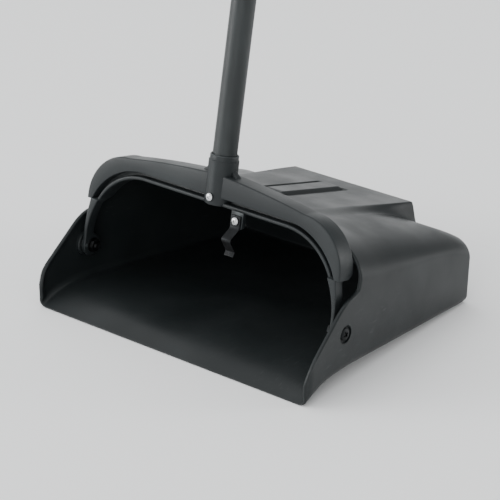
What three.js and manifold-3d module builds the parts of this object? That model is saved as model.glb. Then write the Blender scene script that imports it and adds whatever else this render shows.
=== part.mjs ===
// Lobby dust pan: a hooded scoop hanging in a moulded yoke on an upright handle.
// Millimetres, +Z up, +X to the right of the mouth, +Y towards the back of the pan.
// The origin is on the floor, in the middle of the scoop's footprint.
import * as THREE from 'three';
import { mergeVertices } from 'three/addons/utils/BufferGeometryUtils.js';
import Module from 'manifold-3d';

const wasm = await Module();
wasm.setup();

// ---- Driving dimensions ----
const GAP = 0.3; // clearance between pieces that touch

const PAN = {
  lipHalfWidth: 152.4,
  rearHalfWidth: 130.2,
  lean: 0.022,
  frontY: -127,
  rearY: 127,
  wall: 2.8,
  rearWall: 3,
  lipThickness: 1.2,
  floorThickness: 3,
  bottomRadius: 8,
  rearChamfer: 2.5,
  crown: 3,
};
// The rounded shoulders: where they start beside the deck, and how far they fall to the side walls.
// They slope down to the back, arched upwards behind archY.
const SHOULDER = {
  height: 105.5,
  slope: -0.365,
  arch: 6.6,
  archY: -25,
  frontY: -60,
  start: 76,
  rearStart: 113.5,
  turnY: 60,
  frontFall: 40,
  rearFall: 16,
};
// The raised middle of the deck; its sides grow steeper behind turnY.
const HUMP = {
  height: 107,
  slope: -0.2155,
  topHalfWidth: 57,
  rearTopHalfWidth: 66.5,
  footHalfWidth: 73,
  turnY: 20,
};
const UNDERSIDE = [[-127, 0], [-112, 6.5], [-94, 10.6], [-76, 11.3], [-58, 10.8], [115, 0], [127, 0]];
const GROOVE = { x: 14, width: 5, depth: 1.6, startY: 14, endY: 95 };
// The side walls' front edge, as [y, z] from the lip up to the ledge under the yoke.
const WING_EDGE = [
  [-127.5, 18],
  [-124.4, 27],
  [-121, 32.8],
  [-116.5, 38],
  [-97, 55],
  [-82, 68],
  [-75, 72.3],
  [-68, 75],
];
const HOOD_FOOT = 34.4; // where the hood's front edge starts, up the handle from the pivot

const PIVOT = { y: -72, z: 45, lean: 10.4 };
const SEAT = { radius: 11, inner: 143.6, floor: 146.2, pocket: 7.6 }; // the bolt seats in the side walls

const YOKE = {
  depth: 19,
  bandHalfWidth: 141.1,
  bandFoot: 44,
  bandRadius: 43,
  bandTop: 89.5,
  crownX: 50,
  crownRise: 97.5,
  crownTop: 100,
  rim: 3.4,
  rimRecess: 2,
  groove: 4,
  grooveFoot: 42,
  grooveDepth: 9,
  stopGap: 0.5,
};
// The legs: half-widths of their faces, the bosses at their ends, and the rear face of the slim part.
const LEG = { inner: 137.6, outer: 141.1, foot: 10, straightTop: 14, rear: 0.5, slimTop: 41 };
// A leg's outside from the band down to its foot, as [half-width, height].
const LEG_OUTSIDE = [[137.2, 44], [139.8, 31], [141.1, 18], [141.1, -10], [137.6, -10]];
// The control points of the arch's inner edge from a leg to the flat middle, as [half-width, height].
const ARCH = [[137.6, 14], [134.5, 46], [113, 73], [78, 73]];

const SOCKET = { radius: 13, foot: 73, top: 116, boreFoot: 74.8, boreRadius: 10.8, screwU: 80 };
const FIN = { reach: 7, foot: 84, top: 106, halfThickness: 2.5 };
const TUBE = { radius: 9.5, wall: 1.2, foot: 75.2, top: 838 };
const SLEEVE = { inner: 9.8, radius: 10.5, top: 836 };
const GRIP = { foot: 716, top: 832, radius: 13.2, ridge: 0.9, ridges: 9 };
const CAP = {
  radius: 13.2,
  plugRadius: 8,
  plugFoot: 815,
  flange: 3.5,
  top: 872,
  plateHalf: 3.5,
  holeRadius: 6.5,
};

const BOLT = { radius: 3, clearance: 3.3, head: 5.6, headHeight: 2.6, tip: 131.2 };
const SPACER = { radius: 8 };
const WASHER = { radius: 6.5, thickness: 1 };
const NUT = { acrossFlats: 10, height: 3.6 };
const SMALL_BOLT = { radius: 2.2, clearance: 2.6, head: 3.5, headHeight: 2 };
const TAB = { x: 28.8, u: 66, halfWidth: 6.5, foot: 59, top: 74, thickness: 4 };
// The catch spring: how far its bends stand in front of the yoke, and their heights.
const CATCH = {
  halfWidth: 5,
  thickness: 1.2,
  top: 71,
  bend: 60,
  bow: 12,
  bowU: 51,
  heel: 3,
  heelU: 40,
  toe: 5,
  foot: 36,
};

const PLASTIC = { color: 0x1b1f20, roughness: 0.42, metalness: 0 };
const VINYL = { color: 0x2a3031, roughness: 0.38, metalness: 0 };
const GRIP_VINYL = { color: 0x161818, roughness: 0.6, metalness: 0 };
const STEEL = { color: 0xb4b8ba, roughness: 0.3, metalness: 1 };
const DARK_STEEL = { color: 0x4a4e50, roughness: 0.4, metalness: 1 };

const radians = THREE.MathUtils.degToRad;
const object = new THREE.Group();
const handle = new THREE.Group(); // its own Z runs up the handle, its own Y points back
handle.position.set(0, PIVOT.y, PIVOT.z);
handle.rotation.x = -radians(PIVOT.lean);
object.add(handle);

// ---- Small tools ----
function toSolid(geometry) {
  const bare = geometry.clone();
  bare.deleteAttribute('normal');
  bare.deleteAttribute('uv');
  const merged = mergeVertices(bare, 1e-4);
  const triVerts = new Uint32Array(merged.index.array);
  const vertProperties = new Float32Array(merged.attributes.position.array);
  return new wasm.Manifold(new wasm.Mesh({ numProp: 3, vertProperties, triVerts }));
}

function toGeometry(solid) {
  const mesh = solid.getMesh();
  const geometry = new THREE.BufferGeometry();
  geometry.setAttribute('position', new THREE.BufferAttribute(mesh.vertProperties, 3));
  geometry.setIndex(new THREE.BufferAttribute(mesh.triVerts, 1));
  geometry.computeVertexNormals();
  return geometry;
}

const join = (first, ...rest) => rest.reduce((whole, next) => whole.add(toSolid(next)), first);
const cut = (first, ...rest) => rest.reduce((whole, next) => whole.subtract(toSolid(next)), first);

function addPiece(parent, name, geometry, look) {
  const mesh = new THREE.Mesh(geometry, new THREE.MeshStandardMaterial(look));
  mesh.name = name;
  parent.add(mesh);
  return mesh;
}

// A box between two corners.
function block(low, high) {
  const size = high.map((value, i) => value - low[i]);
  const middle = high.map((value, i) => (value + low[i]) / 2);
  return new THREE.BoxGeometry(...size).translate(...middle);
}

// A rod along X, Y or Z between two values on that axis.
function rod(axis, radius, from, to, segments = 24) {
  const geometry = new THREE.CylinderGeometry(radius, radius, Math.abs(to - from), segments);
  if (axis === 'x') geometry.rotateZ(Math.PI / 2).translate((from + to) / 2, 0, 0);
  if (axis === 'y') geometry.translate(0, (from + to) / 2, 0);
  if (axis === 'z') geometry.rotateX(Math.PI / 2).translate(0, 0, (from + to) / 2);
  return geometry;
}

// An outline in X and Z, given thickness along Y between two values.
function slabXZ(shape, fromY, toY, curveSegments = 8) {
  const options = { depth: toY - fromY, bevelEnabled: false, curveSegments };
  return new THREE.ExtrudeGeometry(shape, options).rotateX(Math.PI / 2).translate(0, toY, 0);
}

// An outline in Y and Z, given thickness along X between two values.
function slabYZ(shape, fromX, toX, curveSegments = 8) {
  const options = { depth: toX - fromX, bevelEnabled: false, curveSegments };
  const turn = new THREE.Matrix4().makeBasis(
    new THREE.Vector3(0, 1, 0),
    new THREE.Vector3(0, 0, 1),
    new THREE.Vector3(1, 0, 0),
  );
  return new THREE.ExtrudeGeometry(shape, options).applyMatrix4(turn).translate(fromX, 0, 0);
}

// A round piece about Z from [radius, height] points that go up the outside.
function lathe(profile, segments = 32) {
  const points = profile.map(([radius, height]) => new THREE.Vector2(radius, height));
  return new THREE.LatheGeometry(points, segments).rotateX(Math.PI / 2);
}

function ringProfile(inner, outer, foot, top) {
  return [[inner, foot], [outer, foot], [outer, top], [inner, top], [inner, foot]];
}

function capTriangles(outline) {
  const points = outline.map(([x, z]) => new THREE.Vector2(x, z));
  return THREE.ShapeUtils.triangulateShape(points, []);
}

// A skin through closed outlines of [x, z] points, each at its own y, with both ends closed.
function loft(outlines, heights) {
  const count = outlines[0].length;
  const positions = outlines.flatMap((outline, i) => outline.flatMap(([x, z]) => [x, heights[i], z]));
  const index = [];
  for (let ring = 0; ring + 1 < outlines.length; ring++) {
    for (let i = 0; i < count; i++) {
      const a = ring * count + i;
      const b = ring * count + ((i + 1) % count);
      index.push(a, b + count, b, a, a + count, b + count);
    }
  }
  const last = (outlines.length - 1) * count;
  capTriangles(outlines[0]).forEach(([a, b, c]) => index.push(a, b, c));
  capTriangles(outlines.at(-1)).forEach(([a, b, c]) => index.push(last + a, last + c, last + b));
  const geometry = new THREE.BufferGeometry();
  geometry.setAttribute('position', new THREE.Float32BufferAttribute(positions, 3));
  geometry.setIndex(index);
  return geometry;
}

// The value at x on a line through [x, value] points.
function along(points, x) {
  const i = points.findIndex(([next]) => next >= x);
  if (i <= 0) return points[i === 0 ? 0 : points.length - 1][1];
  const [x0, v0] = points[i - 1];
  const [x1, v1] = points[i];
  return v0 + ((v1 - v0) * (x - x0)) / (x1 - x0);
}

// A point of the handle's own frame, u up the handle and v behind its plane, as [y, z] of the pan.
function onHandle(u, v) {
  const lean = radians(PIVOT.lean);
  const y = PIVOT.y + u * Math.sin(lean) + v * Math.cos(lean);
  return [y, PIVOT.z + u * Math.cos(lean) - v * Math.sin(lean)];
}

// ---- Scoop ----
// The side walls come together towards the back and lean outwards towards the top.
function halfWidthAt(y, z) {
  const share = (y - PAN.frontY) / (PAN.rearY - PAN.frontY);
  return THREE.MathUtils.lerp(PAN.lipHalfWidth, PAN.rearHalfWidth, share) + PAN.lean * z;
}

// The factor makes the arch's curve reach exactly 1 at its highest place.
function shoulderHeightAt(y) {
  const share = Math.max((y - SHOULDER.archY) / (PAN.rearY - SHOULDER.archY), 0);
  const curve = 6.75 * share ** 2 * (1 - share);
  return SHOULDER.height + SHOULDER.slope * y + SHOULDER.arch * curve;
}

function shoulderStartAt(y) {
  const share = THREE.MathUtils.smoothstep(y, SHOULDER.turnY, PAN.rearY);
  return THREE.MathUtils.lerp(SHOULDER.start, SHOULDER.rearStart, share);
}

function humpTopHalfWidthAt(y) {
  const share = THREE.MathUtils.smoothstep(y, HUMP.turnY, PAN.rearY);
  return THREE.MathUtils.lerp(HUMP.topHalfWidth, HUMP.rearTopHalfWidth, share);
}

const humpHeightAt = (y) => Math.max(HUMP.height + HUMP.slope * y, shoulderHeightAt(y));

function arcPoints(centreX, centreZ, radiusX, radiusZ, fromDegrees, toDegrees, steps) {
  return Array.from({ length: steps + 1 }, (_, i) => {
    const angle = radians(THREE.MathUtils.lerp(fromDegrees, toDegrees, i / steps));
    return [centreX + radiusX * Math.cos(angle), centreZ + radiusZ * Math.sin(angle)];
  });
}

// The scoop's outline at one place: its outside, or its inside when set in from the outside.
function scoopOutline(y, inset, floorThickness) {
  const base = along(UNDERSIDE, y) + floorThickness;
  const top = shoulderHeightAt(y) - inset;
  const footHalfWidth = halfWidthAt(y, base) - inset;
  const halfWidth = halfWidthAt(y, top) - inset;
  const share = (y - SHOULDER.frontY) / (PAN.rearY - SHOULDER.frontY);
  const { frontFall, rearFall } = SHOULDER;
  const start = shoulderStartAt(y);
  const fall = THREE.MathUtils.lerp(frontFall, rearFall, Math.max(share, 0)) - inset;
  const foot = PAN.bottomRadius - inset;
  const crown = (x) => PAN.crown * (1 - share) * (1 - (x / start) ** 2);
  const hump = humpHeightAt(y) - inset;
  const humpTop = humpTopHalfWidthAt(y);
  const half = [
    ...arcPoints(footHalfWidth - foot, base + foot, foot, foot, -90, 0, 4),
    ...arcPoints(start, top - fall, halfWidth - start, fall, 0, 90, 10),
    [HUMP.footHalfWidth - inset, top + crown(HUMP.footHalfWidth)],
    [humpTop - inset, hump + crown(humpTop)],
    [humpTop / 2, hump + crown(humpTop / 2)],
  ];
  const mirrored = half.map(([x, z]) => [-x, z]).reverse();
  return [[0, base], ...half, [0, hump + crown(0)], ...mirrored];
}

function scoopOutside() {
  const rearEdge = PAN.rearY - PAN.rearChamfer;
  const places = [-127, -112, -94, -76, -58, -10, 20, 42, 64, 82, 100, 115, rearEdge];
  const outlines = places.map((y) => scoopOutline(y, 0, 0));
  const end = scoopOutline(PAN.rearY, PAN.rearChamfer, 0);
  return loft([...outlines, end], [...places, PAN.rearY]);
}

function scoopInside() {
  const rear = PAN.rearY - PAN.rearWall;
  const places = [-140, -127, -112, -94, -76, -58, -10, 20, 42, 64, 82, 100, 115, rear];
  const thickness = [[-127, PAN.lipThickness], [-112, PAN.floorThickness]];
  const outlines = places.map((y) => scoopOutline(y, PAN.wall, along(thickness, y)));
  return loft(outlines, places);
}

// Everything in front of the side walls' sloping edges and of the hood's front edge.
function mouthCutter() {
  const behind = YOKE.depth / 2 + YOKE.stopGap;
  const shape = new THREE.Shape();
  shape.moveTo(-200, WING_EDGE[0][1]);
  WING_EDGE.forEach(([y, z]) => shape.lineTo(y, z));
  shape.lineTo(...onHandle(HOOD_FOOT, behind));
  shape.lineTo(...onHandle(160, behind));
  shape.lineTo(-200, 230);
  return slabYZ(shape, -200, 200);
}

// A round notch in the hood's front edge, which the socket rests in.
function socketNotch() {
  const notch = rod('z', SOCKET.radius + 1, SOCKET.foot - 14, SOCKET.top, 32);
  return notch.rotateX(-radians(PIVOT.lean)).translate(0, PIVOT.y, PIVOT.z);
}

function deckGroove(x) {
  const middleY = (GROOVE.startY + GROOVE.endY) / 2;
  const surface = humpHeightAt(middleY) + PAN.crown * 0.4;
  const length = GROOVE.endY - GROOVE.startY;
  const height = 2 * GROOVE.depth;
  const box = new THREE.BoxGeometry(GROOVE.width, length, height);
  return box.rotateX(Math.atan(HUMP.slope)).translate(x, middleY, surface);
}

// The parts of a seat for a pivot bolt: what is added inside a wing, and what is cut from it.
function boltSeat(side) {
  const place = (geometry) => geometry.translate(0, PIVOT.y, PIVOT.z);
  const thickening = place(rod('x', SEAT.radius, side * SEAT.inner, side * (SEAT.floor + 1.2), 32));
  const pocket = place(rod('x', SEAT.pocket, side * SEAT.floor, side * (SEAT.floor + 9), 32));
  const hole = place(rod('x', BOLT.clearance, side * (SEAT.inner - 5), side * (SEAT.floor + 5)));
  return { thickening, pocket, hole };
}

function makeScoop() {
  const shell = cut(toSolid(scoopOutside()), scoopInside(), mouthCutter(), socketNotch());
  const seats = [boltSeat(-1), boltSeat(1)];
  const thickened = join(shell, ...seats.map((seat) => seat.thickening));
  const drilled = cut(thickened, ...seats.flatMap((seat) => [seat.pocket, seat.hole]));
  const scoop = cut(drilled, deckGroove(-GROOVE.x), deckGroove(GROOVE.x));
  addPiece(object, 'pan_shell', toGeometry(scoop), PLASTIC);
}

// ---- Yoke ----
// The arch's inner edge on one side, moved out by an offset: start, two controls and end.
function archCurve(side, offset) {
  const spread = [1, 1, 0.7, 0];
  const rise = [0, 0.4, 1, 1];
  return ARCH.map(([x, u], i) => [side * (x + spread[i] * offset), u + rise[i] * offset]);
}

// Draws the arch's edge from the foot of one side to the foot of the other.
function drawArch(shape, offset, fromSide) {
  const up = archCurve(fromSide, offset);
  const down = archCurve(-fromSide, offset).reverse();
  shape.bezierCurveTo(...up[1], ...up[2], ...up[3]);
  shape.lineTo(...down[0]);
  shape.bezierCurveTo(...down[1], ...down[2], ...down[3]);
}

function archOutline() {
  const { bandHalfWidth: wide, bandRadius: round, bandTop, crownX, crownRise, crownTop, bandFoot } = YOKE;
  const shape = new THREE.Shape();
  shape.moveTo(-wide, bandFoot);
  shape.absarc(round - wide, bandTop - round, round, Math.PI, Math.PI / 2, true);
  shape.quadraticCurveTo(-crownX, crownRise, 0, crownTop);
  shape.quadraticCurveTo(crownX, crownRise, wide - round, bandTop);
  shape.absarc(wide - round, bandTop - round, round, Math.PI / 2, 0, true);
  shape.lineTo(wide, bandFoot);
  LEG_OUTSIDE.forEach(([x, u]) => shape.lineTo(x, u));
  shape.lineTo(LEG.inner, LEG.straightTop);
  drawArch(shape, 0, 1);
  LEG_OUTSIDE.toReversed().forEach(([x, u]) => shape.lineTo(-x, u));
  return shape;
}

// A band of the arch's front, between two offsets from its inner edge, as deep as given.
function archFrontBand(fromOffset, toOffset, depth) {
  const shape = new THREE.Shape();
  shape.moveTo(...archCurve(-1, toOffset)[0]);
  drawArch(shape, toOffset, -1);
  shape.lineTo(...archCurve(1, fromOffset)[0]);
  drawArch(shape, fromOffset, 1);
  const front = -YOKE.depth / 2;
  const below = block([-200, front - 20, -50], [200, front + depth + 1, YOKE.grooveFoot]);
  return toGeometry(cut(toSolid(slabXZ(shape, front - 10, front + depth, 12)), below));
}

// The yoke seen from the side: a deep arch, slim legs set forward and round ends about the pivot.
function sideOutline() {
  const half = YOKE.depth / 2;
  const boss = LEG.foot;
  const shape = new THREE.Shape();
  shape.moveTo(half, YOKE.bandFoot + 3);
  shape.lineTo(half, YOKE.crownTop + 5);
  shape.lineTo(-half, YOKE.crownTop + 5);
  shape.lineTo(-half, Math.sqrt(boss ** 2 - half ** 2));
  const from = Math.PI - Math.acos(half / boss);
  shape.absarc(0, 0, boss, from, 2 * Math.PI + Math.acos(LEG.rear / boss), false);
  shape.lineTo(LEG.rear, LEG.slimTop);
  return slabYZ(shape, -200, 200, 24);
}

// A fin that braces the socket on the crown.
function socketFin(side) {
  const near = side * (SOCKET.radius - 3);
  const shape = new THREE.Shape();
  shape.moveTo(near, FIN.foot);
  shape.lineTo(side * (SOCKET.radius + FIN.reach), FIN.foot);
  shape.lineTo(side * (SOCKET.radius + FIN.reach), FIN.top - FIN.reach);
  shape.lineTo(side * SOCKET.radius, FIN.top);
  shape.lineTo(near, FIN.top);
  return slabXZ(shape, -FIN.halfThickness, FIN.halfThickness);
}

function makeYoke() {
  const front = -YOKE.depth / 2;
  const full = toSolid(slabXZ(archOutline(), -YOKE.depth, YOKE.depth, 12));
  const groove = archFrontBand(YOKE.rim, YOKE.rim + YOKE.groove, YOKE.grooveDepth);
  const rimStep = archFrontBand(-2, YOKE.rim + 1, YOKE.rimRecess);
  const arch = cut(full.intersect(toSolid(sideOutline())), groove, rimStep);
  const socket = rod('z', SOCKET.radius, SOCKET.foot, SOCKET.top, 32);
  const tab = block(
    [TAB.x - TAB.halfWidth, front, TAB.foot],
    [TAB.x + TAB.halfWidth, front + TAB.thickness, TAB.top],
  );
  const yoke = cut(
    join(arch, socket, socketFin(-1), socketFin(1), tab),
    rod('z', SOCKET.boreRadius, SOCKET.boreFoot, SOCKET.top + 5, 32),
    rod('x', BOLT.clearance, -LEG.outer - 5, -LEG.inner + 5),
    rod('x', BOLT.clearance, LEG.inner - 5, LEG.outer + 5),
    rod('y', SMALL_BOLT.clearance, -30, 0, 16).translate(0, 0, SOCKET.screwU),
    rod('y', SMALL_BOLT.clearance, -30, front + TAB.thickness + 1, 16).translate(TAB.x, 0, TAB.u),
  );
  addPiece(handle, 'yoke', toGeometry(yoke), PLASTIC);
}

// ---- Handle ----
function makeHandle() {
  const screwHole = rod('y', SMALL_BOLT.clearance, -30, 0, 16).translate(0, 0, SOCKET.screwU);
  const tube = lathe(ringProfile(TUBE.radius - TUBE.wall, TUBE.radius, TUBE.foot, TUBE.top));
  addPiece(handle, 'handle_tube', toGeometry(cut(toSolid(tube), screwHole)), STEEL);
  const sleeve = lathe(ringProfile(SLEEVE.inner, SLEEVE.radius, TUBE.foot, SLEEVE.top));
  addPiece(handle, 'handle_sleeve', toGeometry(cut(toSolid(sleeve), screwHole)), VINYL);
  addPiece(handle, 'hand_grip', lathe(gripProfile()), GRIP_VINYL);
  addPiece(handle, 'hang_cap', toGeometry(makeCap()), GRIP_VINYL);
}

function gripProfile() {
  const inner = SLEEVE.radius + GAP;
  const first = GRIP.foot + 10;
  const pitch = (GRIP.top - 10 - first) / GRIP.ridges;
  const profile = [[inner, GRIP.foot], [GRIP.radius - 1, GRIP.foot], [GRIP.radius, GRIP.foot + 3]];
  for (let i = 0; i < GRIP.ridges; i++) {
    const foot = first + i * pitch;
    const valley = GRIP.radius - GRIP.ridge;
    profile.push([GRIP.radius, foot], [valley, foot + 0.25 * pitch], [GRIP.radius, foot + 0.5 * pitch]);
  }
  profile.push([GRIP.radius, GRIP.top], [inner, GRIP.top], [inner, GRIP.foot]);
  return profile;
}

// A plug, a flange over the tube's end and a flat loop to hang the dust pan by.
function makeCap() {
  const foot = TUBE.top + GAP;
  const flangeTop = foot + CAP.flange;
  const body = lathe([
    [0, CAP.plugFoot],
    [CAP.plugRadius, CAP.plugFoot],
    [CAP.plugRadius, foot],
    [CAP.radius, foot],
    [CAP.radius, flangeTop],
    [0, flangeTop],
  ]);
  const middle = CAP.top - CAP.radius;
  const plate = new THREE.Shape();
  plate.moveTo(-CAP.radius + 1, flangeTop - 1);
  plate.lineTo(CAP.radius - 1, flangeTop - 1);
  plate.lineTo(CAP.radius, middle);
  plate.absarc(0, middle, CAP.radius, 0, Math.PI, false);
  const loop = slabXZ(plate, -CAP.plateHalf, CAP.plateHalf);
  const hole = rod('y', CAP.holeRadius, -10, 10).translate(0, 0, middle);
  return cut(join(toSolid(body), loop), hole);
}

// ---- Fasteners ----
function roundHeadBolt(radius, length, head, headHeight) {
  return lathe([
    [0, -length],
    [radius, -length],
    [radius, 0],
    [head, 0],
    [head, headHeight * 0.35],
    [head * 0.82, headHeight * 0.8],
    [head * 0.5, headHeight],
    [0, headHeight],
  ], 24);
}

function hexNut(acrossFlats, height, bore) {
  const corner = acrossFlats / Math.sqrt(3);
  const nut = new THREE.CylinderGeometry(corner, corner, height, 6).rotateX(Math.PI / 2);
  return toGeometry(cut(toSolid(nut.translate(0, 0, height / 2)), rod('z', bore, -1, height + 1)));
}

const washer = (bore, radius, thickness) => lathe(ringProfile(bore, radius, 0, thickness), 24);

// Turns a piece made along +Z to point outwards along X on one side, at the pivot.
function placeAtPivot(mesh, side, x) {
  mesh.rotation.y = (side * Math.PI) / 2;
  mesh.position.set(side * x, PIVOT.y, PIVOT.z);
}

function makePivot(side, word) {
  const seat = SEAT.floor + GAP;
  const bolt = roundHeadBolt(BOLT.radius, seat - BOLT.tip, BOLT.head, BOLT.headHeight);
  placeAtPivot(addPiece(object, `pivot_bolt_${word}`, bolt, DARK_STEEL), side, seat);
  const spacerFace = LEG.outer + GAP;
  const spacer = washer(BOLT.clearance, SPACER.radius, SEAT.inner - GAP - spacerFace);
  placeAtPivot(addPiece(object, `pivot_spacer_${word}`, spacer, GRIP_VINYL), side, spacerFace);
  const washerFace = LEG.inner - GAP - WASHER.thickness;
  const flat = washer(BOLT.clearance, WASHER.radius, WASHER.thickness);
  placeAtPivot(addPiece(object, `pivot_washer_${word}`, flat, DARK_STEEL), side, washerFace);
  const nut = hexNut(NUT.acrossFlats, NUT.height, BOLT.clearance);
  const nutFoot = washerFace - GAP - NUT.height;
  placeAtPivot(addPiece(object, `pivot_nut_${word}`, nut, DARK_STEEL), side, nutFoot);
}

// The screw that holds the tube, through the front walls of the socket and the tube.
function makeSocketScrew() {
  const seat = SOCKET.radius + GAP;
  const body = roundHeadBolt(SMALL_BOLT.radius, 9, SMALL_BOLT.head, SMALL_BOLT.headHeight);
  const screw = addPiece(handle, 'socket_screw', body, STEEL);
  screw.rotation.x = Math.PI / 2;
  screw.position.set(0, -seat, SOCKET.screwU);
}

// A leaf spring that hangs from the yoke's tab, bowed forwards, and its screw.
function makeCatch() {
  const face = -YOKE.depth / 2 - GAP;
  const { thickness: t, top, bend, bow, bowU, heel, heelU, toe, foot } = CATCH;
  const front = [[t, top], [t, bend], [bow, bowU], [heel, heelU], [toe, foot]];
  const back = [[toe - t, foot], [heel - t, heelU + 0.4], [bow - 2 * t, bowU], [0, bend - 1], [0, top]];
  const outline = [...front, ...back].map(([ahead, u]) => new THREE.Vector2(face - ahead, u));
  const shape = new THREE.Shape(outline);
  const strip = slabYZ(shape, TAB.x - CATCH.halfWidth, TAB.x + CATCH.halfWidth);
  const hole = rod('y', SMALL_BOLT.clearance, -40, 0, 16).translate(TAB.x, 0, TAB.u);
  addPiece(handle, 'catch_spring', toGeometry(cut(toSolid(strip), hole)), DARK_STEEL);
  const { radius, head, headHeight } = SMALL_BOLT;
  const bolt = roundHeadBolt(radius, TAB.thickness + 2, head, headHeight);
  const screw = addPiece(handle, 'catch_screw', bolt, STEEL);
  screw.rotation.x = Math.PI / 2;
  screw.position.set(TAB.x, face - t - GAP, TAB.u);
}

makeScoop();
makeYoke();
makeHandle();
makePivot(-1, 'left');
makePivot(1, 'right');
makeSocketScrew();
makeCatch();

export default object;
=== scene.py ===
import math

import bmesh
import bpy
from mathutils import Matrix, Vector


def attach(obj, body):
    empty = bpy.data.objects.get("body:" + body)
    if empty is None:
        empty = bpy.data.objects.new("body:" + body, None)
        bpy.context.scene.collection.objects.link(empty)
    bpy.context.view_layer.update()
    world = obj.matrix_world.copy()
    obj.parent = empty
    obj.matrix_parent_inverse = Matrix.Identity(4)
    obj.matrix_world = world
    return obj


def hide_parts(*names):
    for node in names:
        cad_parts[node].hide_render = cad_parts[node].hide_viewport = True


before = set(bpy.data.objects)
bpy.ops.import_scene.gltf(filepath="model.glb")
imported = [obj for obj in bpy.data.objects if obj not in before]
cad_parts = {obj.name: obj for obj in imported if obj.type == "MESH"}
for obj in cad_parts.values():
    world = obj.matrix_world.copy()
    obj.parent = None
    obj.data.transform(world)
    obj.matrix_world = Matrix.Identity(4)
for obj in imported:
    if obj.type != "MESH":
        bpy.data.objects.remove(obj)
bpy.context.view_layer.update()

# ---- Sizes in millimetres: the CAD's main sizes, and finer ones for rounded and blended places ----
MM = 0.001
GAP = 0.3

PAN_LIP_HALF_WIDTH = 152.4
PAN_REAR_HALF_WIDTH = 130.2
PAN_LEAN = 0.022
PAN_FRONT = -127.0
PAN_REAR = 127.0
PAN_WALL = 2.8
PAN_FOOT_RADIUS = 8.0
PAN_CROWN = 3.0
PAN_REAR_WALL = 3.0
PAN_REAR_RADIUS, PAN_INNER_REAR_RADIUS = 2.6, 2.0
PAN_INNER_SKIN_END = 122.4
PAN_RIM_SWELL, PAN_RIM_REACH = 0.9, 5.0
SHOULDER_HEIGHT, SHOULDER_SLOPE = 105.5, -0.365
# The factor brings the highest place of share * share * (1 - share) up to exactly 1.
SHOULDER_ARCH, SHOULDER_ARCH_Y, ARCH_FACTOR = 6.6, -25.0, 6.75
SHOULDER_FRONT_Y, SHOULDER_TURN_Y = -60.0, 60.0
SHOULDER_START, SHOULDER_REAR_START = 76.0, 113.5
SHOULDER_FRONT_FALL, SHOULDER_REAR_FALL = 40.0, 16.0
HUMP_HEIGHT, HUMP_SLOPE, HUMP_TURN_Y, HUMP_FADE = 107.0, -0.2155, 20.0, 2.0
HUMP_TOP_HALF_WIDTH, HUMP_REAR_TOP_HALF_WIDTH, HUMP_FOOT_HALF_WIDTH = 57.0, 66.5, 73.0
UNDERSIDE_BLEND, MOUTH_BLEND = 9.0, 2.0
UNDERSIDE = [(-127, 0), (-112, 6.5), (-94, 10.6), (-76, 11.3), (-58, 10.8), (115, 0), (127, 0)]
FLOOR_THICKNESS = [(-127, 1.2), (-112, 3.0), (127, 3.0)]
MOUTH_EDGE = [(19.5, -127), (27, -124.4), (32.8, -121), (38, -116.5), (55, -97), (68, -82),
              (72.3, -75), (75, -68), (77, -56), (200, -33.4)]
GROOVE_X, GROOVE_HALF_WIDTH, GROOVE_DEPTH = 14.0, 3.4, 1.7
GROOVE_START, GROOVE_END = 14.0, 95.0
GROOVE_RUN_OUT, GROOVE_EDGE, RIDGE_EDGE, RIDGE_RISE = 5.0, 1.8, 2.5, 1.6
NOSE_TUCK = 1.6
FLAT_HALF_WIDTH = 74.5

PIVOT_Y, PIVOT_Z, LEAN = -72.0, 45.0, math.radians(10.4)
SEAT_RADIUS, SEAT_INNER, SEAT_FLOOR, SEAT_POCKET = 11.0, 143.6, 146.2, 7.6
HOLE_RADIUS = 3.3

YOKE_HALF_DEPTH = 9.5
BAND_FOOT, BAND_HALF_WIDTH, BAND_RADIUS, BAND_TOP = 44.0, 141.1, 43.0, 89.5
CROWN_X, CROWN_RISE, CROWN_TOP = 50.0, 97.5, 100.0
RIM_WIDTH, RIM_RECESS, CHANNEL_WIDTH, CHANNEL_DEPTH = 3.4, 2.0, 4.0, 9.0
LEG_INNER, LEG_OUTER, LEG_BOSS, LEG_REAR = 137.6, 141.1, 10.0, 0.5
SOCKET_RADIUS, SOCKET_FOOT, SOCKET_TOP = 13.0, 73.0, 116.0
BORE_FOOT, BORE_RADIUS, SCREW_U = 74.8, 10.8, 80.0
SMALL_HOLE_RADIUS = 2.6
TAB_X, TAB_U, TAB_HALF_WIDTH, TAB_FOOT, TAB_TOP, TAB_THICKNESS = 28.8, 66.0, 6.5, 59.0, 74.0, 4.0

HANDLE_PLACE = Matrix.Translation((0, PIVOT_Y * MM, PIVOT_Z * MM)) @ Matrix.Rotation(-LEAN, 4, "X")


# ---- Small tools ----
def lerp(start, end, share):
    return start + (end - start) * share


def smooth(share):
    share = min(max(share, 0.0), 1.0)
    return share * share * (3 - 2 * share)


def spread(start, end, steps):
    return [lerp(start, end, i / steps) for i in range(steps + 1)]


def along(points, x):
    """The value at x on straight lines through (x, value) points."""
    if x <= points[0][0]:
        return points[0][1]
    for (x0, v0), (x1, v1) in zip(points, points[1:]):
        if x <= x1:
            return lerp(v0, v1, (x - x0) / (x1 - x0))
    return points[-1][1]


def softened(points, x, reach):
    """The value at x on the same lines with their corners rounded over a reach on both sides."""
    reach = min(reach, x - points[0][0], points[-1][0] - x)
    places = spread(x - reach, x + reach, 8)
    return sum(along(points, place) for place in places) / len(places)


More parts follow.
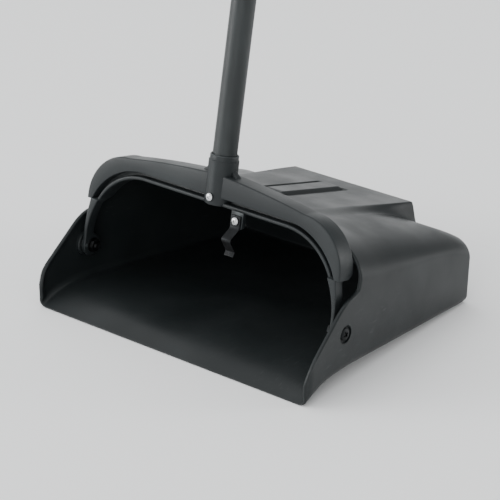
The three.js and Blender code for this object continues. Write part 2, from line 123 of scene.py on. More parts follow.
def rounded(corners, steps=4):
    """A closed outline through (a, b, radius) corners, each one rounded by an arc."""
    outline = []
    for i, (a, b, radius) in enumerate(corners):
        corner = Vector((a, b))
        before = Vector(corners[i - 1][:2]) - corner
        after = Vector(corners[(i + 1) % len(corners)][:2]) - corner
        turn = before.angle(after)
        reach = min(radius / math.tan(turn / 2), 0.48 * before.length, 0.48 * after.length)
        start = corner + before.normalized() * reach
        end = corner + after.normalized() * reach
        weight = math.sin(turn / 2)
        for share in spread(0, 1, steps):
            first, middle, last = (1 - share) ** 2, 2 * share * (1 - share) * weight, share**2
            outline.append((start * first + corner * middle + end * last) / (first + middle + last))
    return outline


def make_object(name, points, faces, place=Matrix.Identity(4), sharp=35):
    """A mesh object from points in millimetres, smooth except at edges sharper than an angle."""
    mesh = bpy.data.meshes.new(name)
    mesh.from_pydata([Vector(point) * MM for point in points], [], faces)
    tidy = bmesh.new()
    tidy.from_mesh(mesh)
    bmesh.ops.remove_doubles(tidy, verts=tidy.verts, dist=1e-6)
    bmesh.ops.recalc_face_normals(tidy, faces=tidy.faces)
    tidy.to_mesh(mesh)
    tidy.free()
    mesh.transform(place)
    thing = bpy.data.objects.new(name, mesh)
    bpy.context.scene.collection.objects.link(thing)
    soften(thing, sharp)
    return thing


def soften(thing, sharp=35):
    """Smooth shading, except at edges that are sharper than an angle in degrees."""
    thing.data.shade_smooth()
    thing.data.set_sharp_from_angle(angle=math.radians(sharp))


def skin(rings, ring_closed=True, ends_closed=True):
    """Points and faces of a skin over rings of points, each ring with the same count."""
    count = len(rings[0])
    points = [point for ring in rings for point in ring]
    span = count if ring_closed else count - 1
    faces = []
    for row in range(len(rings) - 1):
        for i in range(span):
            a, b = row * count + i, row * count + (i + 1) % count
            faces.append((a, b, b + count, a + count))
    if ends_closed:
        faces.append(tuple(reversed(range(count))))
        last = (len(rings) - 1) * count
        faces.append(tuple(range(last, last + count)))
    return points, faces


def lathe(name, profile, place, segments=64, closed=False):
    """A round piece about Z from (radius, height) points; a closed profile makes a ring."""
    rings = []
    for i in range(segments):
        angle = 2 * math.pi * i / segments
        rings.append([(r * math.cos(angle), r * math.sin(angle), h) for r, h in profile])
    rings.append(rings[0])
    points, faces = skin(rings, ring_closed=closed, ends_closed=False)
    return make_object(name, points, faces, place)


def slab(name, outline, low, high, axis, place):
    """An outline of (a, b) points given thickness along X (a, b are y, z) or Y (a, b are x, z)."""
    if axis == "x":
        rings = [[(level, a, b) for a, b in outline] for level in (low, high)]
    else:
        rings = [[(a, level, b) for a, b in outline] for level in (low, high)]
    points, faces = skin(rings)
    return make_object(name, points, faces, place)


def box_outline(low_a, low_b, high_a, high_b, radius):
    corners = [(low_a, low_b), (high_a, low_b), (high_a, high_b), (low_a, high_b)]
    return rounded([(a, b, radius) for a, b in corners])


def apply_modifiers(thing):
    """Replaces a piece's mesh by the one that its modifiers make."""
    graph = bpy.context.evaluated_depsgraph_get()
    mesh = bpy.data.meshes.new_from_object(thing.evaluated_get(graph))
    thing.modifiers.clear()
    thing.data = mesh


def combine(thing, operation, *tools, sharp=35):
    """Joins tools to a piece, cuts them from it, or keeps what they share."""
    for tool in tools:
        boolean = thing.modifiers.new("boolean", "BOOLEAN")
        boolean.operation = operation
        boolean.object = tool
        boolean.solver = "MANIFOLD"
        apply_modifiers(thing)
        bpy.data.objects.remove(tool)
    soften(thing, sharp)
    return thing


def bevelled(thing, width, segments=3):
    """Rounds a piece's edges to a width in millimetres."""
    bevel = thing.modifiers.new("bevel", "BEVEL")
    bevel.width = width * MM
    bevel.segments = segments
    bevel.limit_method = "ANGLE"
    bevel.angle_limit = math.radians(40)
    apply_modifiers(thing)
    soften(thing)
    return thing


def rod(radius, low, high, place):
    return lathe("rod", [(0, low), (radius, low), (radius, high), (0, high)], place, 48)


def at(x, y, z):
    return Matrix.Translation((x * MM, y * MM, z * MM))


def facing(direction):
    """Turns a piece made along +Z to point along another direction."""
    return Vector(direction).to_track_quat("Z", "Y").to_matrix().to_4x4()


def facing_front(x, u):
    """The place of a screw that points out of the handle's front at a height."""
    return HANDLE_PLACE @ at(x, 0, u) @ facing((0, -1, 0))


# ---- Scoop ----
def half_width_at(y, z):
    """Half the scoop's width; its walls come together to the back and lean outwards to the top."""
    share = (y - PAN_FRONT) / (PAN_REAR - PAN_FRONT)
    return lerp(PAN_LIP_HALF_WIDTH, PAN_REAR_HALF_WIDTH, share) + PAN_LEAN * z


def nose_tuck(y, z):
    """How far a side wall bends inwards just behind its nose."""
    return NOSE_TUCK * (1 - smooth((y - PAN_FRONT) / 8)) * smooth((z - 3) / 7) * smooth((44 - z) / 12)


def shoulder_share(y):
    return (y - SHOULDER_FRONT_Y) / (PAN_REAR - SHOULDER_FRONT_Y)


def shoulder_height_at(y):
    """The height of the deck beside the hump: it slopes down to the back, arched upwards on the way."""
    share = max((y - SHOULDER_ARCH_Y) / (PAN_REAR - SHOULDER_ARCH_Y), 0)
    return SHOULDER_HEIGHT + SHOULDER_SLOPE * y + SHOULDER_ARCH * ARCH_FACTOR * share**2 * (1 - share)


def shoulder_start_at(y):
    """The half-width of the deck, where the rounded shoulders start."""
    share = smooth((y - SHOULDER_TURN_Y) / (PAN_REAR - SHOULDER_TURN_Y))
    return lerp(SHOULDER_START, SHOULDER_REAR_START, share)


def shoulder_fall_at(y):
    """How far the shoulders fall from the deck to the side walls."""
    return lerp(SHOULDER_FRONT_FALL, SHOULDER_REAR_FALL, max(shoulder_share(y), 0))


def hump_rise_at(y):
    """How far the hump stands above the shoulders, fading out smoothly towards the front."""
    rise = HUMP_HEIGHT + HUMP_SLOPE * y - shoulder_height_at(y)
    return (rise + math.hypot(rise, HUMP_FADE)) / 2


def hump_share(x, y, inset):
    """How much of the hump's rise a place has; its sides grow steeper to the back."""
    share = smooth((y - HUMP_TURN_Y) / (PAN_REAR - HUMP_TURN_Y))
    top = lerp(HUMP_TOP_HALF_WIDTH, HUMP_REAR_TOP_HALF_WIDTH, share)
    return smooth((HUMP_FOOT_HALF_WIDTH - inset - x) / (HUMP_FOOT_HALF_WIDTH - top))


def deck_height(x, y, inset):
    """The top of the scoop between its shoulders."""
    x = abs(x)
    crown = PAN_CROWN * (1 - shoulder_share(y)) * (1 - (x / shoulder_start_at(y)) ** 2)
    height = shoulder_height_at(y) + crown + hump_rise_at(y) * hump_share(x, y, inset) - inset
    return height if inset > 0 else height + deck_relief(x, y)


def deck_relief(x, y):
    """Two sunk grooves along the deck with a low ridge between them."""
    front = smooth((y - GROOVE_START + 0.6 * GROOVE_RUN_OUT) / GROOVE_RUN_OUT)
    rear = smooth((GROOVE_END + 0.6 * GROOVE_RUN_OUT - y) / GROOVE_RUN_OUT)
    groove = smooth((GROOVE_HALF_WIDTH + GROOVE_EDGE / 3 - abs(x - GROOVE_X)) / GROOVE_EDGE)
    ridge = smooth((GROOVE_X - GROOVE_HALF_WIDTH - x) / RIDGE_EDGE)
    return front * rear * (RIDGE_RISE * ridge - GROOVE_DEPTH * groove)


def section_places():
    """Where a section's points lie on its right half, from the middle of the floor up and over.

    They are closer together where the mouth's edge or the deck's relief bends.
    """
    places = [("floor", share) for share in spread(0, 1, 16)[:-1]]
    places += [("corner", share) for share in spread(0, 1, 6)[:-1]]
    places += [("wall", share) for share in spread(0, 0.28, 18)[:-1]]
    places += [("wall", share) for share in spread(0.28, 0.64, 12)[:-1]]
    places += [("wall", share) for share in spread(0.64, 0.8, 40)[:-1]]
    places += [("wall", share) for share in spread(0.8, 1, 8)[:-1]]
    places += [("shoulder", share) for share in spread(0, 1, 28)[:-1]]
    places += [("flat", share) for share in spread(0, 1, 8)[:-1]]
    places += [("deck", x) for x in spread(FLAT_HALF_WIDTH, 55, 30)]
    places += [("deck", x) for x in spread(51, 21, 7)]
    places += [("deck", x) for x in spread(19, 7, 24)]
    places += [("deck", x) for x in (5, 3)]
    return places


def section_point(place, y, inset):
    """The x and z of one place of the section at y, on the outside or set in from it."""
    zone, value = place
    base = softened(UNDERSIDE, y, UNDERSIDE_BLEND)
    if inset:
        base += along(FLOOR_THICKNESS, y)
    foot = PAN_FOOT_RADIUS - inset
    fall = shoulder_fall_at(y) - inset
    top = shoulder_height_at(y) - inset
    foot_x = half_width_at(y, base) - inset
    top_x = half_width_at(y, top) - inset
    if zone == "floor":
        return value * (foot_x - foot), base
    if zone == "corner":
        angle = math.radians(90 * value - 90)
        x, z = foot_x - foot + foot * math.cos(angle), base + foot + foot * math.sin(angle)
        return x - nose_tuck(y, z), z
    if zone == "wall":
        z = lerp(base + foot, top - fall, value)
        return lerp(foot_x, top_x, value) - nose_tuck(y, z), z
    if zone == "shoulder":
        angle = math.radians(90 * value)
        start = shoulder_start_at(y)
        return start + (top_x - start) * math.cos(angle), top - fall + fall * math.sin(angle)
    x = value if zone == "deck" else lerp(shoulder_start_at(y), FLAT_HALF_WIDTH, value)
    return x, deck_height(x, y, inset)


def mouth_y(x, z):
    """How far back the mouth's edge lies at a place: lip, side wall, ledge and hood in turn."""
    edge = softened(MOUTH_EDGE, z, MOUTH_BLEND) if z > MOUTH_EDGE[0][0] else PAN_FRONT
    notch = SOCKET_RADIUS + 1
    if z > 100 and abs(x) < notch:
        behind = math.sqrt(notch**2 - x**2) - YOKE_HALF_DEPTH - 0.5
        edge += smooth(behind / 2) * max(behind, 0) / math.cos(LEAN)
    return edge


def edge_reach(place):
    """Half the thickness of the mouth's edge at one place: thin at the lip, thick at the walls."""
    zone, value = place
    lip = FLOOR_THICKNESS[0][1] / 2 + 0.3
    wall = (PAN_WALL + PAN_RIM_SWELL) / 2 + 0.3
    return lip if zone == "floor" else lerp(lip, wall, value if zone == "corner" else 1)


def mouth_start(place, inset):
    """The y where one line of the skin starts, behind the mouth's rounded edge."""
    low, high = PAN_FRONT - 1, 20.0
    for _ in range(40):
        y = (low + high) / 2
        x, z = section_point(place, y, inset)
        if y < mouth_y(x, z):
            low = y
        else:
            high = y
    return high + edge_reach(place)


def whole_ring(half):
    """A closed ring from its right half's points."""
    left = [(-x, y, z) for x, y, z in reversed(half) if abs(x) > 1e-6]
    return half + left


def scoop_skin(inset, rear, rows):
    """The rings of the outer or inner skin, from the mouth to the start of the rear edge."""
    places = section_places()
    starts = [mouth_start(place, inset) for place in places]
    rings = []
    for share in rows:
        half = []
        for place, start in zip(places, starts):
            y = lerp(start, rear, share)
            swell = 0.0
            if inset and place[0] != "floor":
                swell = PAN_RIM_SWELL * (1 - smooth((y - start) / PAN_RIM_REACH))
                swell *= place[1] if place[0] == "corner" else 1
            x, z = section_point(place, y, inset + swell if inset else 0)
            half.append((x, y, z))
        rings.append(whole_ring(half))
    return rings


def rear_rings(inset, radius, rear):
    """Rings that round the rear edge and start the flat rear wall."""
    rings = []
    turns = spread(0, math.pi / 2, 5)[1:]
    steps = [(radius * (1 - math.cos(turn)), radius * math.sin(turn)) for turn in turns]
    for extra, reach in steps + [(radius + 0.6, radius)]:
        half = []
        for place in section_places():
            x, z = section_point(place, rear - radius + reach, inset)
            half.append((x, rear - radius + reach, z))
        rings.append(shrink(whole_ring(half), extra))
    return rings


def shrink(ring, distance):
    """Moves a ring's points inwards, each square to its neighbours."""
    moved = []
    for i, (x, y, z) in enumerate(ring):
        before, after = ring[i - 1], ring[(i + 1) % len(ring)]
        across = Vector((after[0] - before[0], after[2] - before[2])).normalized()
        moved.append((x - across.y * distance, y, z + across.x * distance))
    return moved


def edge_bead(outer_ring, outer_next, inner_ring, inner_next):
    """Rings that round the mouth's edge from the inner skin's first ring to the outer skin's."""
    rings = [[] for _ in range(5)]
    for outer, behind_outer, inner, behind_inner in zip(outer_ring, outer_next, inner_ring, inner_next):
        outer, inner = Vector(outer), Vector(inner)
        half = (outer - inner) / 2
        ahead = (outer - Vector(behind_outer)) + (inner - Vector(behind_inner))
        ahead -= half * (ahead.dot(half) / half.length_squared)
        ahead = ahead.normalized() * half.length
        for ring, angle in zip(rings, spread(0, math.pi, 6)[1:-1]):
            ring.append((outer + inner) / 2 - half * math.cos(angle) + ahead * math.sin(angle))
    return rings


def make_scoop():
    """The scoop as one closed skin: inside, round the mouth's edge, outside and round the rear."""
    outer_rows = [0, 0.004, 0.01] + spread(0.02, 1, 96)
    inner_rows = [0, 0.006, 0.014] + spread(0.03, 1, 46)
    outer = scoop_skin(0, PAN_REAR - PAN_REAR_RADIUS, outer_rows)
    inner = scoop_skin(PAN_WALL, PAN_INNER_SKIN_END, inner_rows)
    bead = edge_bead(outer[0], outer[1], inner[0], inner[1])
    inner_rear = rear_rings(PAN_WALL, PAN_INNER_REAR_RADIUS, PAN_REAR - PAN_REAR_WALL)
    outer_rear = rear_rings(0, PAN_REAR_RADIUS, PAN_REAR)
    rings = list(reversed(inner_rear)) + list(reversed(inner)) + bead + outer + outer_rear
    points, faces = skin(rings)
    scoop = make_object("scoop", points, faces, sharp=40)
    for side in (-1, 1):
        add_bolt_seat(scoop, side)
    soften(scoop, 40)
    return scoop


def add_bolt_seat(scoop, side):
    """A pad inside a side wall, a round pocket outside it, and the bolt's hole."""
    place = at(0, PIVOT_Y, PIVOT_Z) @ facing((side, 0, 0))
    pad = [(0, SEAT_INNER), (SEAT_RADIUS - 0.8, SEAT_INNER), (SEAT_RADIUS, SEAT_INNER + 0.8)]
    pad += [(SEAT_RADIUS, SEAT_FLOOR + 1.2), (0, SEAT_FLOOR + 1.2)]
    combine(scoop, "UNION", lathe("pad", pad, place))
    pocket = [(0, SEAT_FLOOR), (SEAT_POCKET, SEAT_FLOOR), (SEAT_POCKET, 148.1)]
    pocket += [(SEAT_POCKET + 0.9, 149), (SEAT_POCKET + 1.5, 160), (0, 160)]
    hole = rod(HOLE_RADIUS, SEAT_INNER - 5, SEAT_FLOOR + 5, place)
    combine(scoop, "DIFFERENCE", lathe("pocket", pocket, place), hole)


# ---- Yoke: x is across, v is the depth behind the handle's plane and u the height up the handle ----
def bezier(points, share):
    """A point on a curve through two, three or four control points."""
    points = [Vector(point) for point in points]
    while len(points) > 1:
        points = [start.lerp(end, share) for start, end in zip(points, points[1:])]
    return points[0]


ARCH_CORNER = [(LEG_INNER, 14), (134.5, 46), (113, 73), (78, 73)]
CROWN = [(BAND_HALF_WIDTH - BAND_RADIUS, BAND_TOP), (CROWN_X, CROWN_RISE), (0, CROWN_TOP)]
# The shares of the band's corner stretch: its straight foot, the round corner, and then a first
# part of the crown.
BAND_STRAIGHT, BAND_ROUND, CROWN_PART = 0.04, 0.74, 0.25


def arch_inner_at_height(u):
    """The place along the arch's inner corner at a height, and the half-width there."""
    low, high = 0.0, 1.0
    for _ in range(30):
        middle = (low + high) / 2
        if bezier(ARCH_CORNER, middle).y < u:
            low = middle
        else:
            high = middle
    return low, bezier(ARCH_CORNER, low).x


def band_outer(share):
    """The band's outer edge from its foot, round the corner, to the start of the crown."""
    centre = Vector((BAND_HALF_WIDTH - BAND_RADIUS, BAND_TOP - BAND_RADIUS))
    if share < BAND_STRAIGHT:
        straight = [(BAND_HALF_WIDTH, BAND_FOOT), (BAND_HALF_WIDTH, centre.y)]
        return bezier(straight, share / BAND_STRAIGHT)
    if share < BAND_ROUND:
        angle = (share - BAND_STRAIGHT) / (BAND_ROUND - BAND_STRAIGHT) * math.pi / 2
        return centre + Vector((math.cos(angle), math.sin(angle))) * BAND_RADIUS
    return bezier(CROWN, (share - BAND_ROUND) / (1 - BAND_ROUND) * CROWN_PART)


def band_stations():
    """Pairs of points on the inner and outer edge, from the right foot to the left foot."""
    start, _ = arch_inner_at_height(BAND_FOOT)
    corner = [(bezier(ARCH_CORNER, lerp(start, 1, s)), band_outer(s)) for s in spread(0, 1, 56)]
    crown = []
    for share in spread(0, 1, 20)[1:]:
        inner = Vector(ARCH_CORNER[-1])
        inner.x *= 1 - share
        crown.append((inner, bezier(CROWN, lerp(CROWN_PART, 1, share))))
    right = corner + crown
    left = [(Vector((-i.x, i.y)), Vector((-o.x, o.y))) for i, o in reversed(right[:-1])]
    return right + left


def band_rear(u):
    """The band's rear face, which slopes forwards at its foot to meet the slim legs."""
    return min(YOKE_HALF_DEPTH, LEG_REAR + (u - 41) * 1.5)


def make_band():
    """The arch with a rounded rim inside a deep channel in its front."""
    front = -YOKE_HALF_DEPTH
    rings = []
    for inner, outer in band_stations():
        width = (outer - inner).length
        rear = band_rear(inner.y)
        far = min(RIM_WIDTH + CHANNEL_WIDTH, width - 0.25)
        corners = [
            (0, rear, 1.0), (width, rear, 1.6), (width, front, 1.4), (far, front, 0.6),
            (far, front + CHANNEL_DEPTH, 0.3), (RIM_WIDTH, front + CHANNEL_DEPTH, 0.3),
            (RIM_WIDTH, front + RIM_RECESS, 1.2), (0, front + RIM_RECESS, 1.2),
        ]
        outwards = (outer - inner).normalized()
        ring = []
        for a, v in rounded(corners, 4):
            place = inner + outwards * a
            ring.append((place.x, v, place.y))
        rings.append(ring)
    points, faces = skin(rings)
    return make_object("yoke_detailed", points, faces, HANDLE_PLACE)


def leg_edges(u):
    """The inner and outer half-width of a leg at a height."""
    inner = LEG_INNER if u <= 14 else arch_inner_at_height(u)[1]
    outer = along([(18, LEG_OUTER), (31, 139.8), (BAND_FOOT, 137.2), (52, 134.5)], u)
    return inner, outer


def make_leg(side):
    """A slim leg set forward in the yoke's depth, with a round boss about the pivot."""
    heights = [-9.98, -9.9, -9.7, -9.3, -8.8, -8, -7, -5.5, -4, -2, 0, 2, 3.1, 5, 7, 8.5, 9.5, 9.9]
    heights += spread(10.1, 40.5, 16) + spread(41, 44, 3) + [46, 48, 50]
    rings = []
    for u in heights:
        inner, outer = leg_edges(u)
        boss = math.sqrt(max(LEG_BOSS**2 - u**2, 0.01))
        front = -boss if u < 3.1 else -YOKE_HALF_DEPTH
        rear = max(boss if u < LEG_BOSS else 0, min(LEG_REAR + max(u - 41, 0) * 1.5, 4))
        if u > BAND_FOOT:
            inner, outer, front, rear = inner + 0.6, inner + 2.2, front + 4, 0
        ease = 1.0 - math.sqrt(1 - (1 - min((u + LEG_BOSS) / 1.0, 1)) ** 2)
        outline = box_outline(inner + ease, front, outer - ease, rear, 1.1)
        rings.append([(side * x, v, u) for x, v in outline])
    points, faces = skin(rings)
    return make_object("leg", points, faces, HANDLE_PLACE)


def make_socket():
    """The socket for the tube, with rounded rims and a slightly narrower top."""
    wide, foot, top = SOCKET_RADIUS, SOCKET_FOOT, SOCKET_TOP
    profile = [(0, foot), (wide - 1.6, foot), (wide - 0.5, foot + 0.5), (wide, foot + 1.6)]
    profile += [(wide, top - 5), (wide - 0.7, top - 4.2), (wide - 0.7, top - 0.9)]
    profile += [(wide - 1.0, top - 0.3), (wide - 1.5, top), (0, top)]
    return lathe("socket", profile, HANDLE_PLACE)


def make_fin(side):
    """A rounded fin that braces the socket on the crown."""
    near, far = SOCKET_RADIUS - 3, SOCKET_RADIUS + 7
    corners = [(side * near, 84, 0), (side * far, 84, 0), (side * far, 99, 6), (side * near, 106, 0)]
    outline = rounded(corners, 6)
    return bevelled(slab("fin", outline, -2.5, 2.5, "y", HANDLE_PLACE), 0.9)


def make_tab():
    """The small plate below the crown that the catch is screwed to."""
    low, high = TAB_X - TAB_HALF_WIDTH, TAB_X + TAB_HALF_WIDTH
    corners = [(low, TAB_TOP, 0.1), (low, TAB_FOOT, 3), (high, TAB_FOOT, 3), (high, TAB_TOP, 0.1)]
    outline = rounded(corners)
    front = -YOKE_HALF_DEPTH
    return bevelled(slab("tab", outline, front, front + TAB_THICKNESS, "y", HANDLE_PLACE), 0.6)


def make_yoke():
    """The band, legs, socket, fins and tab joined into one moulding, with its holes cut."""
    yoke = make_band()
    parts = [make_leg(-1), make_leg(1), make_socket(), make_fin(-1), make_fin(1), make_tab()]
    combine(yoke, "UNION", *parts)
    across = HANDLE_PLACE @ facing((1, 0, 0))
    flare = BORE_RADIUS + 0.8
    bore = [(0, BORE_FOOT), (BORE_RADIUS, BORE_FOOT), (BORE_RADIUS, SOCKET_TOP - 0.7)]
    bore += [(flare, SOCKET_TOP + 0.1), (flare, SOCKET_TOP + 5), (0, SOCKET_TOP + 5)]
    holes = [lathe("bore", bore, HANDLE_PLACE)]
    holes += [rod(HOLE_RADIUS, side * 135, side * 145, across) for side in (-1, 1)]
    holes.append(rod(SMALL_HOLE_RADIUS, 0, 30, facing_front(0, SCREW_U)))
    holes.append(rod(SMALL_HOLE_RADIUS, 4, 30, facing_front(TAB_X, TAB_U)))
    combine(yoke, "DIFFERENCE", *holes)
    return yoke


# ---- Handle ----
TUBE_RADIUS, TUBE_WALL, TUBE_FOOT, TUBE_TOP = 9.5, 1.2, 75.2, 838.0
SLEEVE_INNER, SLEEVE_RADIUS, SLEEVE_TOP = 9.8, 10.5, 836.0
GRIP_FOOT, GRIP_TOP, GRIP_RADIUS, GRIP_VALLEY, GRIP_RIDGES = 716.0, 832.0, 13.2, 1.1, 12
CAP_RADIUS, CAP_TOP, CAP_PLATE_HALF, CAP_HOLE_RADIUS, CAP_FLANGE = 13.2, 872.0, 3.5, 6.5, 3.5
CAP_PLUG_RADIUS, CAP_PLUG_FOOT = 8.0, 815.0


def ring_profile(inner, outer, low, high, edge):
    """The closed outline of a ring or tube, with rounded edges."""
    corners = [(inner, low, edge / 2), (outer, low, edge), (outer, high, edge), (inner, high, edge / 2)]
    return [tuple(point) for point in rounded(corners, 3)]


def make_tube():
    """The steel tube, open at both ends, with the screw's hole in its front."""
    screw_hole = rod(SMALL_HOLE_RADIUS, 0, 30, facing_front(0, SCREW_U))
    profile = ring_profile(TUBE_RADIUS - TUBE_WALL, TUBE_RADIUS, TUBE_FOOT, TUBE_TOP, 0.3)
    tube = lathe("tube_detailed", profile, HANDLE_PLACE, 96, closed=True)
    return combine(tube, "DIFFERENCE", screw_hole)


def make_sleeve():
    """The coat over the tube, with the screw's hole in its front."""
    screw_hole = rod(SMALL_HOLE_RADIUS, 0, 30, facing_front(0, SCREW_U))
    profile = ring_profile(SLEEVE_INNER, SLEEVE_RADIUS, TUBE_FOOT, SLEEVE_TOP, 0.3)
    sleeve = lathe("sleeve_detailed", profile, HANDLE_PLACE, 96, closed=True)
    return combine(sleeve, "DIFFERENCE", screw_hole)


def grip_radius(u):
    """The grip's outside: rounded finger ridges between a plain cuff and a plain top."""
    first, last = GRIP_FOOT + 12, GRIP_TOP - 12
    if first < u < last:
        share = (u - first) / (last - first) * GRIP_RIDGES
        return GRIP_RADIUS - GRIP_VALLEY * (0.5 - 0.5 * math.cos(2 * math.pi * share))
    return GRIP_RADIUS


def make_grip():
    """The grip over the top of the coat."""
    inner = SLEEVE_RADIUS + GAP
    heights = spread(GRIP_FOOT + 1.2, GRIP_TOP - 1.6, 220)
    outside = [(grip_radius(u), u) for u in heights]
    foot = [(inner, GRIP_FOOT + 0.4), (inner + 0.4, GRIP_FOOT), (GRIP_RADIUS - 1.1, GRIP_FOOT)]
    foot.append((GRIP_RADIUS - 0.3, GRIP_FOOT + 0.4))
    top = [(GRIP_RADIUS - 0.4, GRIP_TOP - 0.5), (GRIP_RADIUS - 1.3, GRIP_TOP), (inner, GRIP_TOP)]
    return lathe("grip_detailed", foot + outside + top, HANDLE_PLACE, 72, closed=True)


def make_cap():
    """A flange over the tube's end, a plug inside it and a rounded loop to hang the dust pan by."""
    foot = TUBE_TOP + GAP
    top = foot + CAP_FLANGE
    wide, plug, plug_foot = CAP_RADIUS, CAP_PLUG_RADIUS, CAP_PLUG_FOOT
    body = [(0, plug_foot), (plug - 0.8, plug_foot), (plug, plug_foot + 1), (plug, foot)]
    body += [(wide - 0.8, foot), (wide, foot + 0.8), (wide, top - 1.2), (wide - 0.4, top - 0.4)]
    body += [(wide - 1.3, top), (0, top)]
    cap = lathe("cap_detailed", body, HANDLE_PLACE, 72)
    middle = CAP_TOP - CAP_RADIUS
    outline = [(-wide + 1, top - 1), (wide - 1, top - 1)]
    arch = [(wide * math.cos(a), middle + wide * math.sin(a)) for a in spread(0, math.pi, 40)]
    plate = slab("plate", outline + arch, -CAP_PLATE_HALF, CAP_PLATE_HALF, "y", HANDLE_PLACE)
    hole = rod(CAP_HOLE_RADIUS, -20, 20, facing_front(0, middle))
    plate = bevelled(combine(plate, "DIFFERENCE", hole), 1.3, segments=4)
    return combine(cap, "UNION", plate)


# ---- Fasteners ----
BOLT_RADIUS, BOLT_HEAD, BOLT_DOME, BOLT_END = 3.0, 5.6, 2.6, 131.2
SPACER_RADIUS = 8.0
WASHER_RADIUS, WASHER_THICKNESS = 6.5, 1.0
NUT_WIDTH, NUT_HEIGHT = 10.0, 3.6
SMALL_SCREW_RADIUS, SMALL_SCREW_HEAD, SMALL_SCREW_DOME = 2.2, 3.5, 2.0
SPRING_THICKNESS, SPRING_HALF_WIDTH = 1.2, 5.0


def dome_profile(radius, length, head, height):
    """A screw's outline: shank with a pointed end, then a round head with a soft rim."""
    profile = [(0, -length), (radius * 0.6, -length), (radius, -length + radius * 0.5), (radius, 0)]
    profile += [(head - 0.25, 0), (head, 0.25), (head, height * 0.3)]
    for angle in spread(0, math.pi / 2, 8)[1:]:
        profile.append((head * math.cos(angle), height * (0.3 + 0.7 * math.sin(angle))))
    profile[-1] = (0, height)
    return profile


def cross_recess(head, height, place):
    """Two tapered bars that cut a cross recess in a screw's head."""
    long, wide = head * 0.62, head * 0.13
    bars = []
    for turn in (0, math.pi / 2):
        rings = []
        for depth, share in ((height * 0.25, 0.35), (height + 1, 1.15)):
            a, b = long * share, wide * (0.7 + 0.3 * share)
            rings.append([(a, b, depth), (-a, b, depth), (-a, -b, depth), (a, -b, depth)])
        points, faces = skin(rings)
        bars.append(make_object("bar", points, faces, place @ Matrix.Rotation(turn + 0.4, 4, "Z")))
    return bars


def make_screw(name, radius, length, head, height, place):
    """A screw along +Z with its head's underside at the origin."""
    screw = lathe(name, dome_profile(radius, length, head, height), place, 48)
    return combine(screw, "DIFFERENCE", *cross_recess(head, height, place), sharp=30)


def make_small_screw(name, length, place):
    return make_screw(name, SMALL_SCREW_RADIUS, length, SMALL_SCREW_HEAD, SMALL_SCREW_DOME, place)


def make_nut(name, place):
    """A hexagon nut with both faces chamfered to a circle."""
    height, bore = NUT_HEIGHT, HOLE_RADIUS
    corner = NUT_WIDTH / math.sqrt(3)
    turns = [math.pi * i / 3 for i in range(6)]
    rings = [[(corner * math.cos(a), corner * math.sin(a), h) for a in turns] for h in (0, height)]
    points, faces = skin(rings)
    nut = make_object(name, points, faces, place)
    flat, wide = NUT_WIDTH / 2 * 0.96, corner * 1.02
    rise = (wide - flat) * 0.5
    barrel = [(0, 0), (flat, 0), (wide, rise), (wide, height - rise), (flat, height), (0, height)]
    combine(nut, "INTERSECT", lathe("barrel", barrel, place, 64))
    bevel = bore + 0.5
    hole = [(0, -1), (bevel, -1), (bevel, 0), (bore, 0.5), (bore, height - 0.5), (bevel, height)]
    hole += [(bevel, height + 1), (0, height + 1)]
    return combine(nut, "DIFFERENCE", lathe("hole", hole, place, 48), sharp=25)


def make_washer(name, radius, thickness, place):
    profile = ring_profile(HOLE_RADIUS, radius, 0, thickness, min(0.3, thickness / 3))
    return lathe(name, profile, place, 64, closed=True)


def make_pivot(side, word):
    """The bolt, spacer, washer and nut of one pivot, named for their side."""
    def place(x):
        return at(side * x, PIVOT_Y, PIVOT_Z) @ facing((side, 0, 0))

    seat = SEAT_FLOOR + GAP
    bolt = make_screw(f"bolt_{word}", BOLT_RADIUS, seat - BOLT_END, BOLT_HEAD, BOLT_DOME, place(seat))
    spacer_at = LEG_OUTER + GAP
    thickness = SEAT_INNER - GAP - spacer_at
    spacer = make_washer(f"spacer_{word}", SPACER_RADIUS, thickness, place(spacer_at))
    washer_at = LEG_INNER - GAP - WASHER_THICKNESS
    washer = make_washer(f"washer_{word}", WASHER_RADIUS, WASHER_THICKNESS, place(washer_at))
    nut = make_nut(f"nut_{word}", place(washer_at - GAP - NUT_HEIGHT))
    return {"pivot_bolt": bolt, "pivot_spacer": spacer, "pivot_washer": washer, "pivot_nut": nut}


def make_catch_spring():
    """A leaf spring that hangs from the yoke's tab and bows forwards."""
    face = -YOKE_HALF_DEPTH - GAP
    thick = SPRING_THICKNESS
    route = [(face - thick / 2, 71, 0.1), (face - thick / 2, 59.5, 5), (face - 11.4, 51, 2.2)]
    route += [(face - 2.6, 40.2, 2.2), (face - 4.6, 36, 0.1)]
    line = smooth_line(route)
    left, right = [], []
    for i, point in enumerate(line):
        ahead = (line[min(i + 1, len(line) - 1)] - line[max(i - 1, 0)]).normalized()
        across = Vector((ahead.y, -ahead.x)) * thick / 2
        left.append(point + across)
        right.append(point - across)
    outline = left + right[::-1]
    low, high = TAB_X - SPRING_HALF_WIDTH, TAB_X + SPRING_HALF_WIDTH
    strip = slab("spring_detailed", outline, low, high, "x", HANDLE_PLACE)
    hole = rod(SMALL_HOLE_RADIUS, 4, 30, facing_front(TAB_X, TAB_U))
    return combine(bevelled(strip, 0.3, segments=2), "DIFFERENCE", hole)


def smooth_line(route):
    """An open line through (a, b, radius) corners, rounded at each one between its two ends."""
    steps = 6
    points_per_corner = steps + 1
    middle = rounded(route, steps)[points_per_corner:-points_per_corner]
    return [Vector(route[0][:2])] + middle + [Vector(route[-1][:2])]


